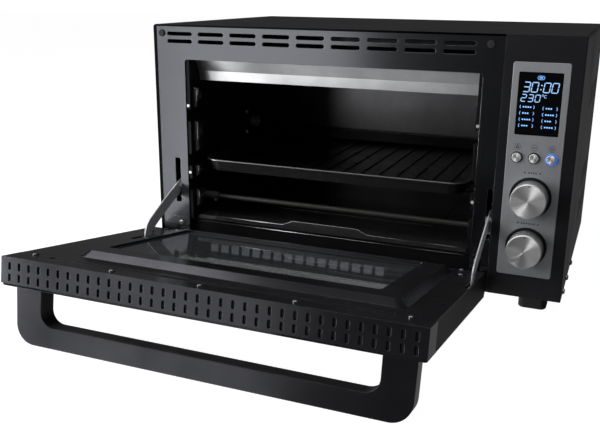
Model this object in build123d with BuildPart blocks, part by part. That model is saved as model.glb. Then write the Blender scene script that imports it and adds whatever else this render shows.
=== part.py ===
"""Countertop toaster oven with its drop-down door open, built as separate pieces.

Millimetres. X runs to the right, Y to the back and Z up. The origin is on the table, under the middle of
the oven's outline with the door open. The door's own pieces are drawn on the door's plane: x to the right,
then the distance up the door from its hinged edge, then the depth from the inner face outwards.
"""

from math import cos, radians, sin
import os

from build123d import *

os.makedirs("parts", exist_ok=True)

# Cabinet
CAB_W, CAB_D, CAB_H = 533.0, 356.0, 300.0
FOOT_H = 25.0
SHEET = 1.2
LEFT, FRONT, BASE = -264.0, -31.5, FOOT_H
RIGHT, REAR, TOP = LEFT + CAB_W, FRONT + CAB_D, BASE + CAB_H

# Front frame, with the mouth of the oven and the vents above it
FRAME_R = LEFT + 448.2
MOUTH_L, MOUTH_R = LEFT + 45.0, LEFT + 426.3
MOUTH_B, MOUTH_T = BASE + 24.0, BASE + 256.5
VENT_COUNT, VENT_PITCH = 9, 45.0
VENT_L, VENT_H = 36.4, 5.0
VENT_X0 = LEFT + 38.5
VENT_ROWS = (BASE + 288.5, BASE + 279.1)

# Cooking chamber, measured inside its walls
CAVITY_L, CAVITY_R = LEFT + 50.4, LEFT + 422.4
CAVITY_B, CAVITY_T = BASE + 43.2, BASE + 262.0
CAVITY_F, CAVITY_REAR = FRONT + 1.5, FRONT + 324.0
WALL = 0.8
GROOVE_Z = (BASE + 91.0, BASE + 124.5, BASE + 184.0)
GROOVE_H, GROOVE_DEEP = 16.0, 4.5
SPIT_Y, SPIT_Z = FRONT + 187.0, BASE + 149.7
FAN_Y, FAN_Z = FRONT + 240.0, BASE + 228.0

# Door
DOOR_L, DOOR_R = LEFT - 7.0, LEFT + 448.5
DOOR_LEN, DOOR_THICK = 296.7, 30.8
DOOR_GAP = 2.1
OPEN_ANGLE = 80.65
HINGE_UP, HINGE_IN = 13.0, 16.4
HINGE_Y, HINGE_Z = FRONT - DOOR_GAP - HINGE_IN, BASE + HINGE_UP
TAB_X = (LEFT + 22.0, LEFT + 434.0)
PIN_R, RUN = 3.0, 0.05
SLOT_COLUMNS, SLOT_PITCH = 36, 12.4
BEZEL_H = 7.0
GLASS_L, GLASS_R = LEFT + 64.5, LEFT + 380.0
GLASS_NEAR, GLASS_FAR = 37.0, 211.0

# Stay arms, which slide through tall slots in the front frame as the door swings
ARM_X = (LEFT + 28.4, LEFT + 444.2)
ARM_UP, ARM_IN = 73.0, 9.0
ARM_WIDE, ARM_THICK = 16.0, 1.5
ARM_SLOT_Z = (BASE + 65.4, BASE + 126.3)

# Loop handle
HANDLE_NEAR, HANDLE_FAR = 264.5, 284.7
HANDLE_DROP = 62.8
HANDLE_L, HANDLE_R = LEFT + 3.6, LEFT + 438.6

# Controls
PANEL_X = LEFT + 489.0
PLATE_W, PLATE_B, PLATE_T = 61.0, BASE + 26.7, BASE + 271.2
KNOB_Z = (BASE + 62.0, BASE + 120.8)
KNOB_R, KNOB_OUT, KNOB_RING_R = 20.0, 22.0, 23.4
BUTTON_Z, BUTTON_PITCH, BUTTON_R = BASE + 166.0, 18.6, 5.3
DISPLAY_W, DISPLAY_B, DISPLAY_T = 47.0, BASE + 191.4, BASE + 260.6

# Trays
TRAY_L, TRAY_R = LEFT + 58.4, LEFT + 414.4
WING = 10.0
TRAY_F, TRAY_D, TRAY_Z, TRAY_DEEP = FRONT + 12.0, 302.0, BASE + 124.0, 14.0
CRUMB_L, CRUMB_R = LEFT + 55.0, LEFT + 420.0
CRUMB_F, CRUMB_D = FRONT + 8.0, 300.0


def front(y):
    """A plane facing the user at depth y: its own x and y are X and Z."""
    return Plane.XZ.offset(-y)


def side(x):
    """A plane facing right: its own x and y are Y and Z."""
    return Plane.YZ.offset(x)


def level(z):
    """A horizontal plane facing up."""
    return Plane.XY.offset(z)


TILT = radians(90.0 - OPEN_ANGLE)
DOOR_UP = Vector(0, -cos(TILT), sin(TILT))
DOOR_OUT = Vector(0, -sin(TILT), -cos(TILT))
DOOR_EDGE = Vector(0, HINGE_Y, HINGE_Z) - DOOR_UP * HINGE_UP - DOOR_OUT * HINGE_IN


def door(depth=0.0):
    """The door's plane at a depth from its inner face: X, then up the door, facing outwards."""
    return Plane(origin=DOOR_EDGE + DOOR_OUT * depth, x_dir=(1, 0, 0), z_dir=DOOR_OUT)


def door_side(x):
    """A plane across the door at x, facing right: up the door, then the depth outwards."""
    return Plane(origin=DOOR_EDGE + Vector(x, 0, 0), x_dir=DOOR_UP, z_dir=(1, 0, 0))


def door_end(up):
    """A plane across the door at a distance up it, facing the hinged edge: X, then the depth outwards."""
    return Plane(origin=DOOR_EDGE + DOOR_UP * up, x_dir=(1, 0, 0), z_dir=-DOOR_UP)


def door_inside():
    """The door's inner face, facing inwards: X, then down the door."""
    return Plane(origin=DOOR_EDGE, x_dir=(1, 0, 0), z_dir=-DOOR_OUT)


def slab(plane, x0, x1, y0, y1, thick, mode=Mode.ADD, radius=0.0, taper=0.0):
    """A plate or, with Mode.SUBTRACT, a pocket on a plane, between two x and two y, with rounded corners."""
    with BuildSketch(plane) as outline:
        with Locations(((x0 + x1) / 2, (y0 + y1) / 2)):
            if radius:
                RectangleRounded(x1 - x0, y1 - y0, radius)
            else:
                Rectangle(x1 - x0, y1 - y0)
    extrude(outline.sketch, amount=thick, mode=mode, taper=taper)


def disc(plane, x, y, radius, thick, mode=Mode.ADD):
    """A round boss or, with Mode.SUBTRACT, a round hole on a plane."""
    with BuildSketch(plane) as outline:
        with Locations((x, y)):
            Circle(radius)
    extrude(outline.sketch, amount=thick, mode=mode)


def slots(plane, places, length, height, depth, turn=0):
    """Round-ended slots cut through a sheet at the given places."""
    with BuildSketch(plane) as outline:
        with Locations(*places):
            SlotOverall(length, height, rotation=turn)
    extrude(outline.sketch, amount=-depth, mode=Mode.SUBTRACT)


def pan_head(plane, x, y, radius, height, shank=0.0, shank_r=1.5):
    """A pan-head screw: a domed head with a cross recess, and its shank below the plane."""
    disc(plane, x, y, radius, height * 0.55)
    with BuildSketch(plane.offset(height * 0.55)) as dome:
        with Locations((x, y)):
            Circle(radius)
    extrude(dome.sketch, amount=height * 0.45, taper=40)
    with BuildSketch(plane.offset(height)) as recess:
        with Locations((x, y)):
            Rectangle(radius * 0.9, radius * 0.22)
            Rectangle(radius * 0.22, radius * 0.9)
    extrude(recess.sketch, amount=-height * 0.5, mode=Mode.SUBTRACT)
    if shank:
        disc(plane, x, y, shank_r, -shank)


def finish(part, name):
    """Name a finished piece and write its STEP file."""
    part.label = name
    export_step(part, f"parts/{name}.step")


# ---------------------------------------------------------------- cabinet sheets

SHELL_F = FRONT + 1.5
SIDE_SCREW_Y = (FRONT + 20.0, FRONT + 70.0, FRONT + 130.0)
SCREW_LOW_Z = BASE + 7.5
LOUVRE_Y0, LOUVRE_PITCH, LOUVRE_COUNT = FRONT + 190.0, 12.0, 11
LOUVRE_Z = (BASE + 60.0, BASE + 105.0, BASE + 215.0)
BACK_SCREWS = [(x, z) for x in (LEFT + 9, RIGHT - 9) for z in (BASE + 14, BASE + 150, TOP - 30)]
BACK_SCREWS += [(-90.0, TOP - 9), (90.0, TOP - 9)]

# One sheet bent over the top and both sides, with air slots for the electronics on the right.
with BuildPart() as outer_shell:
    with BuildSketch(front(SHELL_F)):
        with BuildLine():
            Polyline((LEFT, BASE), (LEFT, TOP), (RIGHT, TOP), (RIGHT, BASE), (LEFT, BASE))
        make_face()
    extrude(amount=-(REAR - SHEET - SHELL_F))
    fillet(outer_shell.edges().filter_by(Axis.Y).group_by(Axis.Z)[-1], 4.0)
    with BuildSketch(front(SHELL_F)):
        with BuildLine():
            Polyline(
                (LEFT + SHEET, BASE - 1), (LEFT + SHEET, TOP - SHEET), (RIGHT - SHEET, TOP - SHEET),
                (RIGHT - SHEET, BASE - 1), (LEFT + SHEET, BASE - 1),
            )
        make_face()
    extrude(amount=-(REAR - 2 * SHEET - SHELL_F), mode=Mode.SUBTRACT)
    slab(front(REAR), LEFT + 15, RIGHT - 15, BASE - 1, TOP - 15, 10, Mode.SUBTRACT)
    LOUVRES = [(LOUVRE_Y0 + i * LOUVRE_PITCH, z) for i in range(LOUVRE_COUNT) for z in LOUVRE_Z]
    slots(side(RIGHT + 1), LOUVRES, 30.0, 4.0, 3.0, turn=90)
    for y in SIDE_SCREW_Y:
        disc(side(RIGHT - 2), y, SCREW_LOW_Z, 1.6, 3, Mode.SUBTRACT)
        disc(side(LEFT - 1), y, SCREW_LOW_Z, 1.6, 3, Mode.SUBTRACT)
    for x, z in BACK_SCREWS:
        disc(front(REAR), x, z, 1.6, 4, Mode.SUBTRACT)
finish(outer_shell.part, "outer_shell")

# Bottom tray of the cabinet with upturned sides that the shell screws to.
PAN_IN = SHEET + 0.1
with BuildPart() as base_pan:
    slab(level(BASE), LEFT + PAN_IN, RIGHT - PAN_IN, SHELL_F + 0.2, REAR - 2.2 * SHEET, SHEET)
    for x in (LEFT + PAN_IN, RIGHT - PAN_IN - SHEET):
        slab(level(BASE), x, x + SHEET, SHELL_F + 0.2, REAR - 2.2 * SHEET, 14.0)
    VENTS = [(LEFT + 90 + i * 44.0, FRONT + y) for i in range(9) for y in (110.0, 125.0, 235.0, 250.0)]
    slots(level(BASE + 3), VENTS, 34.0, 4.0, 5.0)
    for x in (LEFT, RIGHT - 4):
        for y in SIDE_SCREW_Y:
            disc(side(x), y, SCREW_LOW_Z, 1.6, 4, Mode.SUBTRACT)
finish(base_pan.part, "base_pan")

# Back sheet with louvres and the cord outlet.
CORD_X, CORD_Z = RIGHT - 60.0, BASE + 48.0
SPACER_X, SPACER_Z = (LEFT + 60.0, RIGHT - 130.0), BASE + 236.0
with BuildPart() as rear_panel:
    slab(front(REAR), LEFT, RIGHT, BASE, TOP, SHEET, radius=4.0)
    REAR_VENTS = [(LEFT + 90 + i * 44.0, BASE + z) for i in range(9) for z in (262.0, 250.0, 60.0, 48.0)]
    slots(front(REAR - 3), REAR_VENTS, 34.0, 4.0, 6.0)
    disc(front(REAR + 1), CORD_X, CORD_Z, 9.0, 4, Mode.SUBTRACT)
    for x, z in BACK_SCREWS:
        disc(front(REAR + 1), x, z, 1.6, 4, Mode.SUBTRACT)
    for x in SPACER_X:
        disc(front(REAR + 1), x, SPACER_Z, 3.0, 4, Mode.SUBTRACT)
finish(rear_panel.part, "rear_panel")

# Strain relief collar in the back sheet, for the mains lead.
with BuildPart() as cord_gland:
    disc(front(REAR + 6), CORD_X, CORD_Z, 12.0, 6.0)
    fillet(cord_gland.edges().filter_by(GeomType.CIRCLE).group_by(Axis.Y)[-1], 2.0)
    disc(front(REAR), CORD_X, CORD_Z, 8.9, SHEET)
    disc(front(REAR - SHEET), CORD_X, CORD_Z, 11.0, 4.0)
    disc(front(REAR + 7), CORD_X, CORD_Z, 3.6, 20.0, Mode.SUBTRACT)
finish(cord_gland.part, "cord_gland")

# Two stand-off studs that keep the oven away from a wall.
with BuildPart() as wall_spacers:
    for x in SPACER_X:
        disc(front(REAR + 8), x, SPACER_Z, 8.0, 8.0)
        disc(front(REAR), x, SPACER_Z, 2.9, 8.0)
    fillet(wall_spacers.edges().filter_by(GeomType.CIRCLE).group_by(Axis.Y)[-1], 2.5)
finish(wall_spacers.part, "wall_spacers")

# ---------------------------------------------------------------- front frame

FRAME_Y = FRONT + 1.5
BUMPERS = ((LEFT + 12.7, BASE + 289.0), (LEFT + 433.4, BASE + 288.6))
BRACKET_L = (LEFT + 9.0, LEFT + 41.0)
BRACKET_R = (LEFT + 429.0, LEFT + 439.4)
BRACKET_TOP = BASE + 45.0
BRACKET_SPANS = (BRACKET_L, BRACKET_R)
BRACKET_SCREWS = ((LEFT + 32.0, BASE + 36.0), (LEFT + 434.2, BASE + 36.0))
SLOT_X = (LEFT + 29.7, LEFT + 444.2)
SLOT_W = (8.0, 6.0)

with BuildPart() as front_frame:
    slab(front(FRAME_Y), LEFT, FRAME_R, BASE, TOP, 1.5)
    fillet(front_frame.edges().filter_by(Axis.Y).group_by(Axis.X)[0].sort_by(Axis.Z)[-1], 4.0)
    slab(front(FRAME_Y + 1), MOUTH_L, MOUTH_R, MOUTH_B, MOUTH_T, 4, Mode.SUBTRACT, radius=4.0)
    VENT_PLACES = [(VENT_X0 + i * VENT_PITCH, z) for i in range(VENT_COUNT) for z in VENT_ROWS]
    slots(front(FRONT - 1), VENT_PLACES, VENT_L, VENT_H, 4.0)
    for x, w in zip(SLOT_X, SLOT_W):
        slab(front(FRAME_Y + 1), x - w / 2, x + w / 2, *ARM_SLOT_Z, 4, Mode.SUBTRACT, radius=2.0)
    for x, z in BUMPERS:
        disc(front(FRAME_Y + 1), x, z, 3.0, 4, Mode.SUBTRACT)
    for x0, x1 in BRACKET_SPANS:
        slab(front(FRAME_Y + 1), x0 - 0.3, x1 + 0.3, BASE + 3, BRACKET_TOP + 0.3, 4, Mode.SUBTRACT)
finish(front_frame.part, "front_frame")

# Soft stops that the closed door rests on.
with BuildPart() as door_bumpers:
    for x, z in BUMPERS:
        disc(front(FRONT), x, z, 4.5, 1.9)
        disc(front(FRONT + 4), x, z, 2.9, 4.0)
    fillet(door_bumpers.edges().filter_by(GeomType.CIRCLE).group_by(Axis.Y)[0], 1.2)
finish(door_bumpers.part, "door_bumpers")

# Hinge brackets: a plate let into the frame and a tab standing forward, with the hinge pin's hole.
TAB_T, TAB_R = 2.5, 5.6
with BuildPart() as hinge_brackets:
    for (x0, x1), tab, screw in zip(BRACKET_SPANS, TAB_X, BRACKET_SCREWS):
        slab(front(FRAME_Y), x0, x1, BASE + 3.3, BRACKET_TOP, 1.5)
        slab(front(FRAME_Y + 1.5), x0 - 2, x1 + 2, BASE + 1.4, CAVITY_B - 0.2, 1.5)
        with BuildSketch(side(tab - TAB_T / 2)) as outline:
            with BuildLine():
                top = Line((FRONT + 2.0, HINGE_Z + TAB_R), (HINGE_Y, HINGE_Z + TAB_R))
                nose = TangentArc(top @ 1, (HINGE_Y, HINGE_Z - TAB_R), tangent=top % 1)
                under = Line(nose @ 1, (FRONT + 2.0, HINGE_Z - TAB_R))
                Line(under @ 1, top @ 0)
            make_face()
        extrude(outline.sketch, amount=TAB_T)
        disc(side(tab - 5), HINGE_Y, HINGE_Z, PIN_R, 10, Mode.SUBTRACT)
        disc(front(FRONT + 4), *screw, 1.5, 5, Mode.SUBTRACT)
finish(hinge_brackets.part, "hinge_brackets")

PIN_HALF = 9.0
with BuildPart() as hinge_pins:
    for tab in TAB_X:
        disc(side(tab - PIN_HALF), HINGE_Y, HINGE_Z, PIN_R, 2 * PIN_HALF)
    chamfer(hinge_pins.edges().filter_by(GeomType.CIRCLE), 0.5)
finish(hinge_pins.part, "hinge_pins")

# ---------------------------------------------------------------- feet

FOOT_W, FOOT_D = 33.0, 30.0
FOOT_X = (LEFT + 34.0, LEFT + 499.0)
FOOT_Y = (FRONT + 31.0 + FOOT_D / 2, REAR - 30.0)
with BuildPart() as feet:
    for x in FOOT_X:
        for y in FOOT_Y:
            slab(level(0), x - FOOT_W / 2, x + FOOT_W / 2, y - FOOT_D / 2, y + FOOT_D / 2, FOOT_H, radius=7.0)
    chamfer(feet.faces().group_by(Axis.Z)[0].edges(), 1.5)
finish(feet.part, "feet")

# ---------------------------------------------------------------- control panel

FASCIA_L, FASCIA_DEEP, FASCIA_T = LEFT + 448.6, 14.0, 2.5
RECESS = 0.8
BUTTON_X = [PANEL_X + (i - 1) * BUTTON_PITCH for i in range(3)]

with BuildPart() as control_fascia:
    slab(front(FRAME_Y), FASCIA_L, RIGHT, BASE, TOP, 1.5)
    FASCIA_RIM = control_fascia.edges().filter_by(Axis.Z).group_by(Axis.X)[-1].group_by(Axis.Y)[0]
    fillet(FASCIA_RIM, 1.2)
    slab(front(FRONT + FASCIA_DEEP), FASCIA_L + 2, RIGHT - 2.5, BASE + 2, TOP - 2.5, FASCIA_DEEP - 1.5)
    INNER = (FASCIA_L + 4, RIGHT - 4.5, BASE + 4, TOP - 4.5)
    slab(front(FRONT + FASCIA_DEEP + 1), *INNER, FASCIA_DEEP + 1 - FASCIA_T, Mode.SUBTRACT)
    HALF = PLATE_W / 2
    slab(front(FRONT + RECESS), PANEL_X - HALF - 0.2, PANEL_X + HALF + 0.2, PLATE_B - 0.2, PLATE_T + 0.2, 3,
         Mode.SUBTRACT, radius=3.2)
    slab(front(FRONT + 4), PANEL_X - 22, PANEL_X + 22, DISPLAY_B + 3, DISPLAY_T - 3, 6, Mode.SUBTRACT)
    for z in KNOB_Z:
        disc(front(FRONT + 4), PANEL_X, z, 8.2, 6, Mode.SUBTRACT)
    for x in BUTTON_X:
        disc(front(FRONT + 4), x, BUTTON_Z, 6.0, 6, Mode.SUBTRACT)
finish(control_fascia.part, "control_fascia")

# Brushed metal insert with a bevelled rim, let into the fascia.
PLATE_OUT = 0.7
with BuildPart() as control_plate:
    slab(front(FRONT + RECESS), PANEL_X - HALF, PANEL_X + HALF, PLATE_B, PLATE_T, RECESS + PLATE_OUT,
         radius=3.0)
    chamfer(control_plate.faces().sort_by(Axis.Y)[0].edges(), 0.5)
    slab(front(FRONT + 4), PANEL_X - DISPLAY_W / 2, PANEL_X + DISPLAY_W / 2, DISPLAY_B, DISPLAY_T, 8,
         Mode.SUBTRACT, radius=1.0)
    for z in KNOB_Z:
        disc(front(FRONT + 4), PANEL_X, z, KNOB_RING_R, 8, Mode.SUBTRACT)
    for x in BUTTON_X:
        disc(front(FRONT + 4), x, BUTTON_Z, 6.4, 8, Mode.SUBTRACT)
finish(control_plate.part, "control_plate")

with BuildPart() as display_window:
    slab(front(FRONT + RECESS), PANEL_X - 23.4, PANEL_X + 23.4, DISPLAY_B + 0.1, DISPLAY_T - 0.1,
         RECESS + PLATE_OUT - 0.1, radius=0.9)
    slab(front(FRONT + 2.4), PANEL_X - 21.8, PANEL_X + 21.8, DISPLAY_B + 3.2, DISPLAY_T - 3.2, 1.8)
finish(display_window.part, "display_window")

# Dished rings around the knobs: the dark gap that each knob turns in.
with BuildPart() as knob_rings:
    for z in KNOB_Z:
        disc(front(FRONT + RECESS), PANEL_X, z, KNOB_RING_R - 0.1, RECESS + PLATE_OUT)
        disc(front(FRONT + 0.2), PANEL_X, z, KNOB_RING_R - 1.3, 4, Mode.SUBTRACT)
        disc(front(FRONT + 4), PANEL_X, z, 8.2, 8, Mode.SUBTRACT)
finish(knob_rings.part, "knob_rings")

with BuildPart() as button_rings:
    for x in BUTTON_X:
        disc(front(FRONT + RECESS), x, BUTTON_Z, 6.3, RECESS + PLATE_OUT + 0.3)
        disc(front(FRONT + 4), x, BUTTON_Z, BUTTON_R + 0.25, 8, Mode.SUBTRACT)
finish(button_rings.part, "button_rings")

# Push buttons: a dished metal cap on a stem that slides in the fascia.
for i, x in enumerate(BUTTON_X):
    with BuildPart() as button:
        disc(front(FRONT + 2.0), x, BUTTON_Z, BUTTON_R, 5.2)
        fillet(button.edges().group_by(Axis.Y)[0], 0.7)
        disc(front(FRONT + 6.5), x, BUTTON_Z, 2.0, 4.5)
    finish(button.part, f"button_{i + 1}")

# Knobs: a spun metal cap over a plastic core whose shaft turns in the encoder.
SHAFT_R, ENCODER_Y = 3.0, FRONT + FASCIA_T
CAP_BACK = FRONT - 1.6
for name, z in (("temperature_knob", KNOB_Z[0]), ("program_knob", KNOB_Z[1])):
    with BuildPart() as knob_cap:
        disc(front(CAP_BACK), PANEL_X, z, KNOB_R, KNOB_OUT - 1.6)
        chamfer(knob_cap.edges().group_by(Axis.Y)[0], 1.1)
        with BuildSketch(front(CAP_BACK + 1)) as hollow:
            with Locations((PANEL_X, z)):
                Circle(KNOB_R - 2.0)
        extrude(hollow.sketch, amount=KNOB_OUT - 4.5, mode=Mode.SUBTRACT)
    finish(knob_cap.part, f"{name}_cap")
    with BuildPart() as knob_core:
        disc(front(CAP_BACK), PANEL_X, z, KNOB_R - 2.0, KNOB_OUT - 6.0)
        disc(front(CAP_BACK + 0.8), PANEL_X, z, KNOB_R - 4.0, 0.8)
        disc(front(FRONT + 14), PANEL_X, z, SHAFT_R, 14.8)
    finish(knob_core.part, f"{name}_core")

with BuildPart() as knob_encoders:
    for z in KNOB_Z:
        slab(front(ENCODER_Y + 7), PANEL_X - 10, PANEL_X + 10, z - 10, z + 10, 7)
        disc(front(ENCODER_Y), PANEL_X, z, 4.5, 1.7)
        disc(front(ENCODER_Y + 8), PANEL_X, z, SHAFT_R + RUN, 14, Mode.SUBTRACT)
finish(knob_encoders.part, "knob_encoders")

# Display board, with a switch behind each button, and the power board with its relay, coil and capacitors.
SWITCH_F = FRONT + 8.3
with BuildPart() as display_board:
    slab(front(FRONT + 13.6), FASCIA_L + 4, RIGHT - 4.5, BUTTON_Z - 16, DISPLAY_T + 6, 1.6)
    slab(front(FRONT + 12.0), PANEL_X - 21, PANEL_X + 21, DISPLAY_B + 4, DISPLAY_T - 4, 9.0)
    for x in BUTTON_X:
        slab(front(FRONT + 12.0), x - 3, x + 3, BUTTON_Z - 3, BUTTON_Z + 3, FRONT + 12.0 - SWITCH_F)
finish(display_board.part, "display_board")

BOARD_X = LEFT + 506.0
with BuildPart() as power_board:
    slab(side(BOARD_X), FRONT + 60, FRONT + 170, BASE + 30, BASE + 150, 1.6)
    slab(side(BOARD_X - 18), FRONT + 70, FRONT + 100, BASE + 40, BASE + 72, 18)
    for y in (FRONT + 115, FRONT + 140):
        slab(side(BOARD_X - 15), y - 8, y + 8, BASE + 40, BASE + 68, 15)
    for y in (FRONT + 84, FRONT + 112, FRONT + 138):
        disc(side(BOARD_X - 22), y, BASE + 110, 8, 22)
    for y in (FRONT + 64, FRONT + 166):
        slab(side(BOARD_X + 1.6), y - 4, y + 4, BASE + 30, BASE + 38, RIGHT - SHEET - BOARD_X - 1.6)
finish(power_board.part, "power_board")

# ---------------------------------------------------------------- cooking chamber

# Sides, floor and roof in one folded sheet, with three guides pressed into each side and a sill in front.
SILL_Y = FRONT + 9.0
FAN_HOLE_R, FAN_DISH_R = 2.0, 30.0
HUB_SCREWS = ((FRONT + 165.5, BASE + 167.0), (FRONT + 165.5, BASE + 137.0))
WALL_SCREWS = HUB_SCREWS + ((FRONT + 63.6, BASE + 56.0),)
LIP_SCREWS = [(x, z) for x in (LEFT + 47.8, LEFT + 424.4) for z in (BASE + 197.0, BASE + 107.7)]
with BuildPart() as cavity_liner:
    slab(front(CAVITY_REAR), CAVITY_L - WALL, CAVITY_R + WALL, CAVITY_B - WALL, CAVITY_T + WALL,
         CAVITY_REAR - CAVITY_F)
    for z in GROOVE_Z:
        slab(front(CAVITY_REAR), CAVITY_L - GROOVE_DEEP - WALL, CAVITY_R + GROOVE_DEEP + WALL,
             z - GROOVE_H / 2 - WALL, z + GROOVE_H / 2 + WALL, CAVITY_REAR - CAVITY_F)
    slab(front(CAVITY_F + 1), MOUTH_L - 6, MOUTH_R + 6, MOUTH_B - 6, MOUTH_T + 14, 1.0)
    slab(front(CAVITY_REAR + 1), CAVITY_L, CAVITY_R, CAVITY_B, CAVITY_T, 400, Mode.SUBTRACT)
    for z in GROOVE_Z:
        slab(front(CAVITY_REAR + 1), CAVITY_L - GROOVE_DEEP, CAVITY_R + GROOVE_DEEP,
             z - GROOVE_H / 2, z + GROOVE_H / 2, 400, Mode.SUBTRACT)
    slab(level(BASE), MOUTH_L - 8, MOUTH_R + 8, CAVITY_F - 5, SILL_Y, CAVITY_B - BASE, Mode.SUBTRACT)
    slab(front(SILL_Y + WALL), MOUTH_L - 6, MOUTH_R + 6, MOUTH_B - 6, CAVITY_B, WALL)
    disc(side(CAVITY_L - 8), SPIT_Y, SPIT_Z, 8.2, 12, Mode.SUBTRACT)
    for y, z in WALL_SCREWS:
        disc(side(CAVITY_L - 3), y, z, 1.5, 4, Mode.SUBTRACT)
    for x, z in LIP_SCREWS:
        disc(front(CAVITY_F + 2), x, z, 1.0, 4, Mode.SUBTRACT)
    disc(side(CAVITY_R - 4), SPIT_Y, SPIT_Z, 8.2, 12, Mode.SUBTRACT)
    with BuildSketch(side(CAVITY_R - 4)) as perforations:
        with Locations((FAN_Y, FAN_Z)):
            with PolarLocations(8.0, 6):
                Circle(FAN_HOLE_R)
            with PolarLocations(15.0, 12):
                Circle(FAN_HOLE_R)
            with PolarLocations(22.0, 18):
                Circle(FAN_HOLE_R)
    extrude(perforations.sketch, amount=12, mode=Mode.SUBTRACT)
finish(cavity_liner.part, "cavity_liner")

# Back wall of the chamber: a sheet with a raised panel pressed in it.
with BuildPart() as cavity_back:
    slab(front(CAVITY_REAR + WALL), CAVITY_L - 8, CAVITY_R + 8, CAVITY_B - 8, CAVITY_T + 8, WALL)
    slab(front(CAVITY_REAR), CAVITY_L + 18, CAVITY_R - 18, CAVITY_B + 20, CAVITY_T - 14, 2.5,
         radius=12.0, taper=30)
    slab(front(CAVITY_REAR + 2), CAVITY_L + 19.5, CAVITY_R - 19.5, CAVITY_B + 21.5, CAVITY_T - 15.5, 3.6,
         Mode.SUBTRACT, radius=11.0, taper=20)
finish(cavity_back.part, "cavity_back")

# Bright shield that hides the upper heaters from the mouth: a sloping face over an upright one.
SHIELD_T = 0.8
with BuildPart() as heater_shield:
    with BuildSketch(side(CAVITY_L)):
        with BuildLine():
            Polyline(
                (FRONT + 9.0, CAVITY_T), (FRONT + 16.0, BASE + 257.5), (FRONT + 27.0, BASE + 240.5),
                (FRONT + 29.0, BASE + 228.0), (FRONT + 29.0 + SHIELD_T, BASE + 228.0),
                (FRONT + 27.0 + SHIELD_T, BASE + 240.8), (FRONT + 16.8, BASE + 258.0),
                (FRONT + 10.2, CAVITY_T), (FRONT + 9.0, CAVITY_T),
            )
        make_face()
    extrude(amount=CAVITY_R - CAVITY_L)
finish(heater_shield.part, "heater_shield")

# Sheathed heating rods with ceramic ends through the chamber's walls.
ROD_R = 3.4
UPPER_Y, UPPER_Z = (FRONT + 62.0, FRONT + 150.0), BASE + 243.0
LOWER_Y, LOWER_Z = (FRONT + 36.0, FRONT + 245.0), BASE + 70.0
CERAMIC = 22.0
for name, places, z in (("upper_heaters", UPPER_Y, UPPER_Z), ("lower_heaters", LOWER_Y, LOWER_Z)):
    with BuildPart() as rods:
        for y in places:
            disc(side(CAVITY_L + CERAMIC - 6), y, z, ROD_R, CAVITY_R - CAVITY_L - CERAMIC)
    finish(rods.part, name)

with BuildPart() as heater_insulators:
    for places, z in ((UPPER_Y, UPPER_Z), (LOWER_Y, LOWER_Z)):
        for y in places:
            disc(side(CAVITY_L), y, z, 5.2, CERAMIC)
            disc(side(CAVITY_R - 6), y, z, 5.2, 6)
            disc(side(CAVITY_L + CERAMIC - 6), y, z, ROD_R, 6.1, Mode.SUBTRACT)
finish(heater_insulators.part, "heater_insulators")

# Left end of the spit: a cupped bearing riveted to the wall.
with BuildPart() as rotisserie_hub:
    slab(side(CAVITY_L - WALL), SPIT_Y - 28, SPIT_Y + 12, SPIT_Z - 15.5, SPIT_Z + 22, -1.2, radius=3.0)
    disc(side(CAVITY_L - 7), SPIT_Y, SPIT_Z, 8.0, 16.0)
    disc(side(CAVITY_L + 1), SPIT_Y, SPIT_Z, 5.0, 12.0, Mode.SUBTRACT)
    for y, z in HUB_SCREWS:
        disc(side(CAVITY_L - 5), y, z, 1.5, 8, Mode.SUBTRACT)
finish(rotisserie_hub.part, "rotisserie_hub")

# Right end of the spit: a driven socket and the geared motor behind the wall.
SOCKET_R = 7.0
with BuildPart() as rotisserie_socket:
    disc(side(CAVITY_R - 7), SPIT_Y, SPIT_Z, SOCKET_R, 14.0)
    with BuildSketch(side(CAVITY_R - 8)) as square:
        with Locations((SPIT_Y, SPIT_Z)):
            Rectangle(7.0, 7.0)
    extrude(square.sketch, amount=11, mode=Mode.SUBTRACT)
    disc(side(CAVITY_R + 7), SPIT_Y, SPIT_Z, 3.0, 12.0)
finish(rotisserie_socket.part, "rotisserie_socket")

MOTOR_X = CAVITY_R + 8.0
with BuildPart() as rotisserie_motor:
    disc(side(MOTOR_X), SPIT_Y, SPIT_Z, 24.5, 22.0)
    fillet(rotisserie_motor.edges().filter_by(GeomType.CIRCLE), 2.0)
    disc(side(MOTOR_X - 1), SPIT_Y, SPIT_Z, 3.0 + RUN, 14.0, Mode.SUBTRACT)
    for y in (SPIT_Y - 29, SPIT_Y + 29):
        slab(side(MOTOR_X), y - 6, y + 6, SPIT_Z - 5, SPIT_Z + 5, 1.2)
        disc(side(CAVITY_R + WALL), y, SPIT_Z, 3.0, MOTOR_X - CAVITY_R - WALL)
finish(rotisserie_motor.part, "rotisserie_motor")

# Hot-air fan: a dish on the outside of the right wall with a paddle wheel inside and its motor behind.
DISH_X, DISH_DEEP = CAVITY_R + WALL, 22.0
with BuildPart() as fan_housing:
    disc(side(DISH_X), FAN_Y, FAN_Z, FAN_DISH_R, DISH_DEEP)
    fillet(fan_housing.edges().group_by(Axis.X)[-1], 1.5)
    disc(side(DISH_X - 1), FAN_Y, FAN_Z, FAN_DISH_R - WALL, DISH_DEEP + 1 - WALL, Mode.SUBTRACT)
    disc(side(DISH_X), FAN_Y, FAN_Z, 5.0, DISH_DEEP + 2, Mode.SUBTRACT)
finish(fan_housing.part, "fan_housing")

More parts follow.
